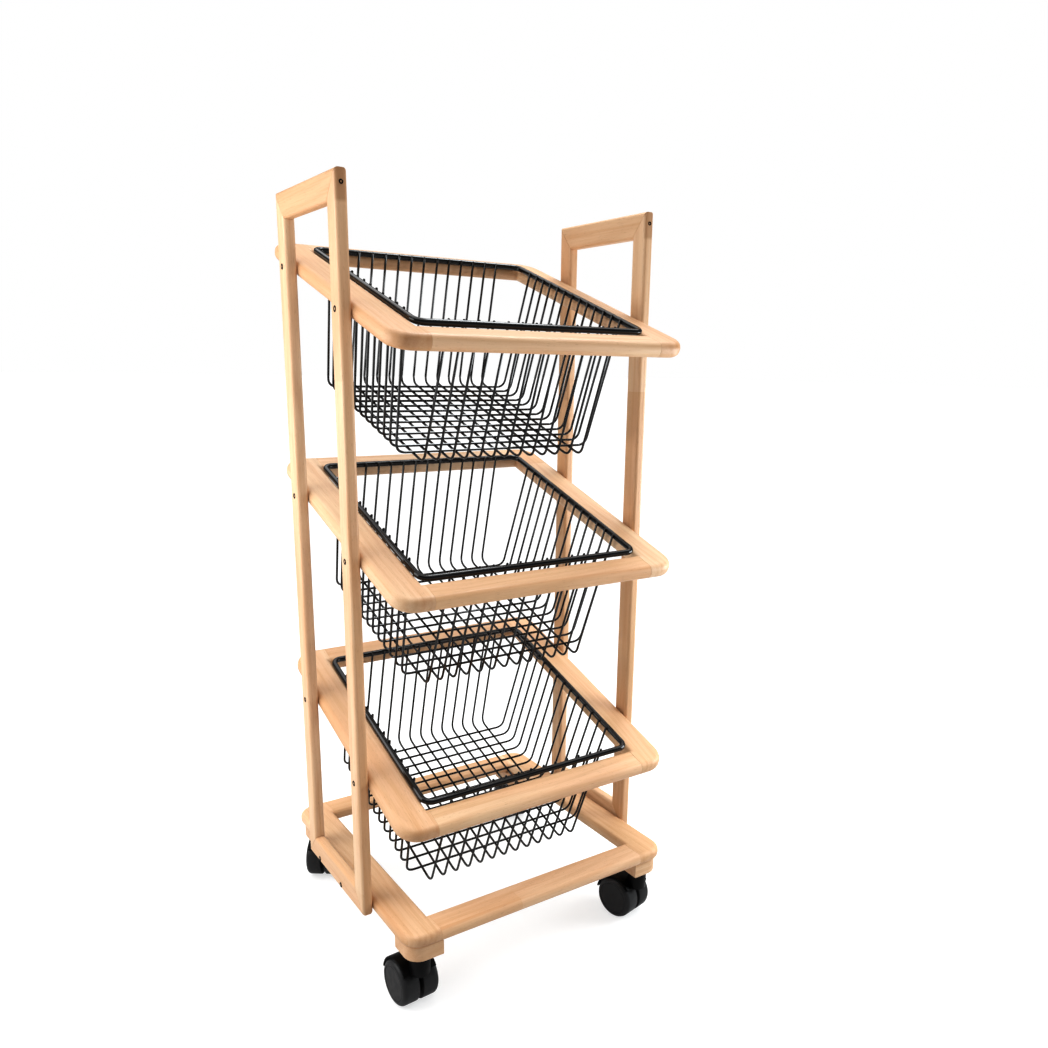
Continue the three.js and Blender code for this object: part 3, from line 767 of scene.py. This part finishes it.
def neck_shape(top):
    """A round neck under the block; its foot follows the cover: z = axle + sqrt(R^2 - (trail - y)^2)."""
    angle = np.linspace(0, 2 * math.pi, NECK_SIDES, endpoint=False)
    bury = WHEEL_RADIUS + HOOD_SPACE + HOOD_WALL / 2
    y = np.maximum(NECK_RADIUS * np.sin(angle), 0)
    foot = WHEEL_RADIUS + np.sqrt(bury**2 - (CASTER_TRAIL - y) ** 2)
    r = NECK_RADIUS
    levels = [(r * NECK_FOOT_SHARE, foot), (r, foot + NECK_FOOT_EDGE)]
    levels += [(r - cut, top - drop) for cut, drop in NECK_GROOVES]
    levels += [(STEM_RADIUS, top - STEM_ROOT), (STEM_RADIUS, top + STEM_LENGTH)]
    rings = [
        np.stack([radius * np.cos(angle), radius * np.sin(angle), np.broadcast_to(z, angle.shape)], axis=-1)
        for radius, z in levels
    ]
    return loft(np.array(rings))


def hood_shape(width, web, top):
    """Cover over both wheels, web between them down to the axle, and a neck up to the block."""
    inner = WHEEL_RADIUS + HOOD_SPACE
    cover = sector_plate(inner, inner + HOOD_WALL, width - 2 * HOOD_INSET, HOOD_EDGE)
    plate = sector_plate(STEM_RADIUS, inner + HOOD_WALL / 2, web, HOOD_EDGE)
    half = width / 2 - WHEEL_SHOULDER
    axle = loft(lathe_x(np.array([[-half, AXLE_RADIUS], [half, AXLE_RADIUS]]), AXLE_SIDES))
    axle = moved(axle, Matrix.Translation((0, CASTER_TRAIL, WHEEL_RADIUS)))
    return joined([cover, plate, axle, neck_shape(top)])


def reach_along(node, axis):
    """Lowest and highest reach of a node along an axis."""
    mesh = frame["nodes"][node].data
    points = np.empty(len(mesh.vertices) * 3, np.float32)
    mesh.vertices.foreach_get("co", points)
    reach = points.reshape(-1, 3) @ np.array(axis)
    return float(reach.min()), float(reach.max())


def casters():
    """A hood and two wheels at each corner, turned as the casters stand."""
    joints = {joint["name"]: joint for joint in frame["joints"]}
    for corner in ("front_left", "front_right", "rear_left", "rear_right"):
        swivel = joints[f"{corner}_swivel"]["pos_m"]
        axle = joints[f"{corner}_left_wheel_spin"]["axis"]
        turn = Matrix.Rotation(math.atan2(axle[1], axle[0]), 4, "Z")
        place = Matrix.Translation((swivel[0], swivel[1], 0)) @ turn
        (low, inner_low), (inner_high, high) = (
            reach_along(f"{corner}_{face}_wheel", axle) for face in ("left", "right"))
        web = inner_high - inner_low - WEB_SPACE
        hood = moved(hood_shape(high - low, web, swivel[2]), place)
        node = f"{corner}_caster_hood"
        add_piece(f"{node}_shell", hood, HOOD_PLASTIC, f"{corner}_caster", node)
        for face, sign, width in (("left", -1, inner_low - low), ("right", 1, high - inner_high)):
            centre = (sign * (high - low - width) / 2, CASTER_TRAIL, WHEEL_RADIUS)
            local = Matrix.Translation(centre) @ Matrix.Diagonal((sign, 1, 1, 1))
            node = f"{corner}_{face}_wheel"
            wheel = moved(wheel_shape(width), place @ local)
            add_piece(f"{node}_disc", wheel, WHEEL_PLASTIC, node, node)


# Materials

def add_node(tree, kind, inputs=None, **settings):
    """A shader node with its settings, its inputs set to values or linked to sockets."""
    node = tree.nodes.new(kind)
    for name, value in settings.items():
        setattr(node, name, value)
    for name, value in (inputs or {}).items():
        if isinstance(value, bpy.types.NodeSocket):
            tree.links.new(value, node.inputs[name])
        else:
            node.inputs[name].default_value = value
    return node


def maths(tree, operation, first, second=0.0):
    """The result of a two-value maths node."""
    return add_node(tree, "ShaderNodeMath", {0: first, 1: second}, operation=operation).outputs[0]


def blended(tree, share, first, second):
    """Two colours mixed by a share."""
    return add_node(tree, "ShaderNodeMix", {0: share, 6: first, 7: second}, data_type="RGBA").outputs[2]


def ranged(tree, value, low, high, to_low=0.0, to_high=1.0):
    """A value carried smoothly from one range to another, held at the ends."""
    inputs = {"Value": value, "From Min": low, "From Max": high, "To Min": to_low, "To Max": to_high}
    return add_node(tree, "ShaderNodeMapRange", inputs, interpolation_type="SMOOTHSTEP").outputs[0]


def new_group(name, inputs, outputs):
    """An empty node group with named sockets, its input node and its output node."""
    tree = bpy.data.node_groups.new(name, "ShaderNodeTree")
    for socket, kind in inputs:
        tree.interface.new_socket(socket, in_out="INPUT", socket_type=kind)
    for socket, kind in outputs:
        tree.interface.new_socket(socket, in_out="OUTPUT", socket_type=kind)
    return tree, tree.nodes.new("NodeGroupInput"), tree.nodes.new("NodeGroupOutput")


def noise_at(tree, vector, stretch, detail=2.0, rough=0.5):
    """Noise on a vector stretched by a factor on each axis."""
    spread = add_node(tree, "ShaderNodeVectorMath", {0: vector, 1: stretch}, operation="MULTIPLY").outputs[0]
    inputs = {"Vector": spread, "Scale": 1.0, "Detail": detail, "Roughness": rough}
    return add_node(tree, "ShaderNodeTexNoise", inputs).outputs[0]


def rubberwood_group():
    """Colour, roughness and height of pale straight-grained wood, from grain coordinates."""
    tree, start, end = new_group(
        "rubberwood",
        [("Grain", "NodeSocketVector"), ("End", "NodeSocketFloat"), ("Edge", "NodeSocketFloat")],
        [("Color", "NodeSocketColor"), ("Roughness", "NodeSocketFloat"), ("Height", "NodeSocketFloat")],
    )
    grain = start.outputs["Grain"]
    parts = add_node(tree, "ShaderNodeSeparateXYZ", {0: grain})
    along, across = parts.outputs[0], parts.outputs[1]
    stave = maths(tree, "FLOOR", maths(tree, "DIVIDE", across, STAVE_WIDTH))
    stagger = maths(tree, "ADD", along, maths(tree, "MULTIPLY", stave, STAVE_STAGGER))
    block = maths(tree, "FLOOR", maths(tree, "DIVIDE", stagger, STAVE_LENGTH))
    cell = add_node(tree, "ShaderNodeCombineXYZ", {0: block, 1: stave}).outputs[0]
    tone = add_node(tree, "ShaderNodeTexWhiteNoise", {"Vector": cell}, noise_dimensions="2D").outputs[0]
    drift = noise_at(tree, grain, DRIFT_STRETCH, 2)
    bend = noise_at(tree, grain, RING_WAVER_STRETCH, 1)
    pith = add_node(tree, "ShaderNodeVectorMath", {0: grain, 1: RING_OVAL}, operation="MULTIPLY").outputs[0]
    from_pith = add_node(tree, "ShaderNodeVectorMath", {0: pith}, operation="LENGTH").outputs["Value"]
    ring = maths(tree, "ADD", from_pith, maths(tree, "MULTIPLY", bend, RING_WAVER))
    wave = maths(tree, "SINE", maths(tree, "MULTIPLY", ring, 2 * math.pi / RING_SPACING))
    masks = {
        name: ranged(tree, noise_at(tree, grain, stretch, detail, rough), low, high)
        for name, (stretch, detail, rough, low, high) in WOOD_MARKS.items()
    }
    masks["rings"] = ranged(tree, wave, *RING_RANGE)
    dark, light = (linear(*screen) for screen in STAVE_TONES)
    colour = blended(tree, ranged(tree, tone, 0, 1, *STAVE_SHARE), dark, light)
    colour = blended(tree, ranged(tree, drift, *DRIFT_RANGE, *DRIFT_SHARE), colour, linear(*DRIFT_TONE))
    for name, share, screen in WOOD_LAYERS:
        colour = blended(tree, maths(tree, "MULTIPLY", masks[name], share), colour, linear(*screen))
    # Painted shade on rounded edges, then end grain with painted shade at the rail ends
    for place, share, screen in (("Edge", EDGE_SHADE_SHARE, EDGE_SHADE_TONE), ("End", END_GRAIN_SHADE_SHARE, END_GRAIN_SHADE_TONE)):
        tint = maths(tree, "MULTIPLY", start.outputs[place], ranged(tree, drift, *DRIFT_RANGE, *share))
        colour = blended(tree, tint, colour, linear(*screen))
    tree.links.new(colour, end.inputs["Color"])
    tree.links.new(ranged(tree, masks["fibre"], 0, 1, *WOOD_ROUGH), end.inputs["Roughness"])
    raised = maths(tree, "MULTIPLY", masks["fibre"], FIBRE_HEIGHT)
    height = maths(tree, "SUBTRACT", raised, masks["pores"])
    tree.links.new(height, end.inputs["Height"])
    return tree


def speckle_group():
    """A fine even speckle on object coordinates: a mask for roughness and a height for bump."""
    tree, start, end = new_group(
        "speckle",
        [("Vector", "NodeSocketVector"), ("Grains per metre", "NodeSocketFloat")],
        [("Mask", "NodeSocketFloat"), ("Height", "NodeSocketFloat")],
    )
    fine = {"Vector": start.outputs["Vector"], "Scale": start.outputs["Grains per metre"], "Detail": 2.0}
    height = add_node(tree, "ShaderNodeTexNoise", fine).outputs[0]
    broad = maths(tree, "MULTIPLY", start.outputs["Grains per metre"], SPECKLE_BROAD)
    coarse = {"Vector": start.outputs["Vector"], "Scale": broad}
    mask = add_node(tree, "ShaderNodeTexNoise", coarse).outputs[0]
    tree.links.new(ranged(tree, mask, *SPECKLE_RANGE), end.inputs["Mask"])
    tree.links.new(height, end.inputs["Height"])
    return tree


def new_material(name):
    """An empty node material with its shader."""
    material = bpy.data.materials.new(name)
    material.use_nodes = True
    tree = material.node_tree
    return material, tree, tree.nodes["Principled BSDF"]


def add_bump(tree, shader, height, strength, distance):
    """A bump of a height on a shader."""
    bump = add_node(tree, "ShaderNodeBump", {"Height": height, "Strength": strength, "Distance": distance})
    tree.links.new(bump.outputs[0], shader.inputs["Normal"])


def wood_material():
    """Satin-lacquered rubberwood that follows each piece's own grain."""
    material, tree, shader = new_material("lacquered_rubberwood")
    wood = add_node(tree, "ShaderNodeGroup", node_tree=rubberwood_group())
    for stored, field, socket in (
        ("grain", "Vector", "Grain"), ("end_grain_and_shade", "Fac", "End"), ("edge", "Fac", "Edge"),
    ):
        value = add_node(tree, "ShaderNodeAttribute", attribute_name=stored).outputs[field]
        tree.links.new(value, wood.inputs[socket])
    tree.links.new(wood.outputs["Color"], shader.inputs["Base Color"])
    tree.links.new(wood.outputs["Roughness"], shader.inputs["Roughness"])
    add_bump(tree, shader, wood.outputs["Height"], *WOOD_BUMP)
    shader.inputs["Specular IOR Level"].default_value = WOOD_GLOSS
    shader.inputs["Coat Weight"].default_value = LACQUER
    shader.inputs["Coat Roughness"].default_value = LACQUER_ROUGH
    return material


def speckled_material(name, dark, light, rough, grains, bump, gloss):
    """A dark moulded or coated finish: two close tones, roughness between two values, fine bump."""
    material, tree, shader = new_material(name)
    place = add_node(tree, "ShaderNodeTexCoord").outputs["Object"]
    speckle = add_node(tree, "ShaderNodeGroup", node_tree=SPECKLE)
    tree.links.new(place, speckle.inputs["Vector"])
    speckle.inputs["Grains per metre"].default_value = grains
    mask = speckle.outputs["Mask"]
    tree.links.new(blended(tree, mask, linear(*dark), linear(*light)), shader.inputs["Base Color"])
    tree.links.new(ranged(tree, mask, 0, 1, *rough), shader.inputs["Roughness"])
    shader.inputs["Specular IOR Level"].default_value = gloss
    add_bump(tree, shader, speckle.outputs["Height"], bump, SPECKLE_DEPTH)
    return material


SPECKLE = speckle_group()
WOOD = wood_material()
COATED_WIRE = speckled_material(
    "coated_wire_black", dark=(6, 6, 7), light=(11, 11, 12),
    rough=(0.08, 0.14), grains=900, bump=0.05, gloss=0.45,
)
BLACK_SCREW = speckled_material(
    "black_oxide", dark=(4, 4, 5), light=(9, 9, 10),
    rough=(0.35, 0.5), grains=1500, bump=0.2, gloss=0.08,
)
HOOD_PLASTIC = speckled_material(
    "moulded_black", dark=(5, 5, 6), light=(9, 9, 10),
    rough=(0.38, 0.5), grains=2200, bump=0.25, gloss=0.12,
)
WHEEL_PLASTIC = speckled_material(
    "wheel_dark_grey", dark=(37, 37, 38), light=(44, 44, 45),
    rough=(0.40, 0.52), grains=2200, bump=0.2, gloss=0.25,
)


# Stage

def stage_floor():
    """A large pale floor, lit from below like a photographer's table, that runs level under the stand."""
    reach = FLOOR_REACH
    mesh = bpy.data.meshes.new("floor")
    corners = [(-reach, -reach, 0), (reach, -reach, 0), (reach, reach, 0), (-reach, reach, 0)]
    mesh.from_pydata(corners, [], [(0, 1, 2, 3)])
    material, tree, shader = new_material("pale_floor")
    shader.inputs["Base Color"].default_value = (FLOOR_GREY, FLOOR_GREY, FLOOR_GREY, 1)
    shader.inputs["Roughness"].default_value = FLOOR_ROUGH
    shader.inputs["Specular IOR Level"].default_value = 0.0
    shader.inputs["Emission Color"].default_value = (1, 1, 1, 1)
    seen = add_node(tree, "ShaderNodeLightPath").outputs["Is Camera Ray"]
    tree.links.new(ranged(tree, seen, 0, 1, *FLOOR_GLOW), shader.inputs["Emission Strength"])
    mesh.materials.append(material)
    floor = bpy.data.objects.new("floor", mesh)
    bpy.context.scene.collection.objects.link(floor)


def aimed_light(name, kind, place, aim, brightness):
    """A light at a place, turned to an aim, unseen itself."""
    data = bpy.data.lights.new(name, kind)
    data.energy = brightness
    light = bpy.data.objects.new(name, data)
    bpy.context.scene.collection.objects.link(light)
    light.location = place
    light.rotation_euler = (Vector(aim) - Vector(place)).to_track_quat("-Z", "Y").to_euler()
    light.visible_camera = False
    return data


def lights():
    """A white room that itself gives little light, soft boxes at the left, right and top, a dome above."""
    world = bpy.data.worlds.new("studio")
    world.use_nodes = True
    tree = world.node_tree
    seen = add_node(tree, "ShaderNodeLightPath").outputs["Is Camera Ray"]
    background = tree.nodes["Background"]
    background.inputs["Color"].default_value = (1, 1, 1, 1)
    tree.links.new(ranged(tree, seen, 0, 1, *ROOM_GLOW), background.inputs["Strength"])
    bpy.context.scene.world = world
    for name, place, aim, watts, size, colour in SOFT_BOXES:
        box = aimed_light(name, "AREA", place, aim, watts)
        box.size = size
        box.color = colour
    aimed_light("overhead", "SUN", DOME_PLACE, (0, 0, 0), DOME_STRENGTH).angle = DOME_ANGLE


def camera():
    """The photograph's view: its place, its turn, and its frame as lens and shift."""
    yaw, pitch, roll = CAMERA_YAW, CAMERA_PITCH, CAMERA_ROLL
    forward = Vector((math.sin(yaw) * math.cos(pitch), math.cos(yaw) * math.cos(pitch), math.sin(pitch)))
    level = Vector((math.cos(yaw), -math.sin(yaw), 0))
    upright = level.cross(forward)
    right = level * math.cos(roll) + upright * math.sin(roll)
    up = upright * math.cos(roll) - level * math.sin(roll)
    data = bpy.data.cameras.new("photo_view")
    data.sensor_width = SENSOR_WIDTH
    data.lens = FOCAL_PIXELS / IMAGE_SIZE * data.sensor_width
    data.shift_x = (IMAGE_SIZE / 2 - CENTRE_PIXELS[0]) / IMAGE_SIZE
    data.shift_y = (CENTRE_PIXELS[1] - IMAGE_SIZE / 2) / IMAGE_SIZE
    view = bpy.data.objects.new("photo_view", data)
    bpy.context.scene.collection.objects.link(view)
    turn = Matrix((right, up, -forward)).transposed().to_4x4()
    view.matrix_world = Matrix.Translation(CAMERA_PLACE) @ turn
    bpy.context.scene.camera = view


side_frames()
flat_frame("base", BASE, base_matrix())
for tier in TIERS:
    flat_frame(f"{tier}_tray", TRAY, tray_matrix(tier))
caster_blocks()
baskets()
screws()
casters()
stage_floor()
lights()
camera()
bpy.context.scene.view_settings.view_transform = "Standard"
bpy.context.scene.view_settings.gamma = PRINT_GAMMA
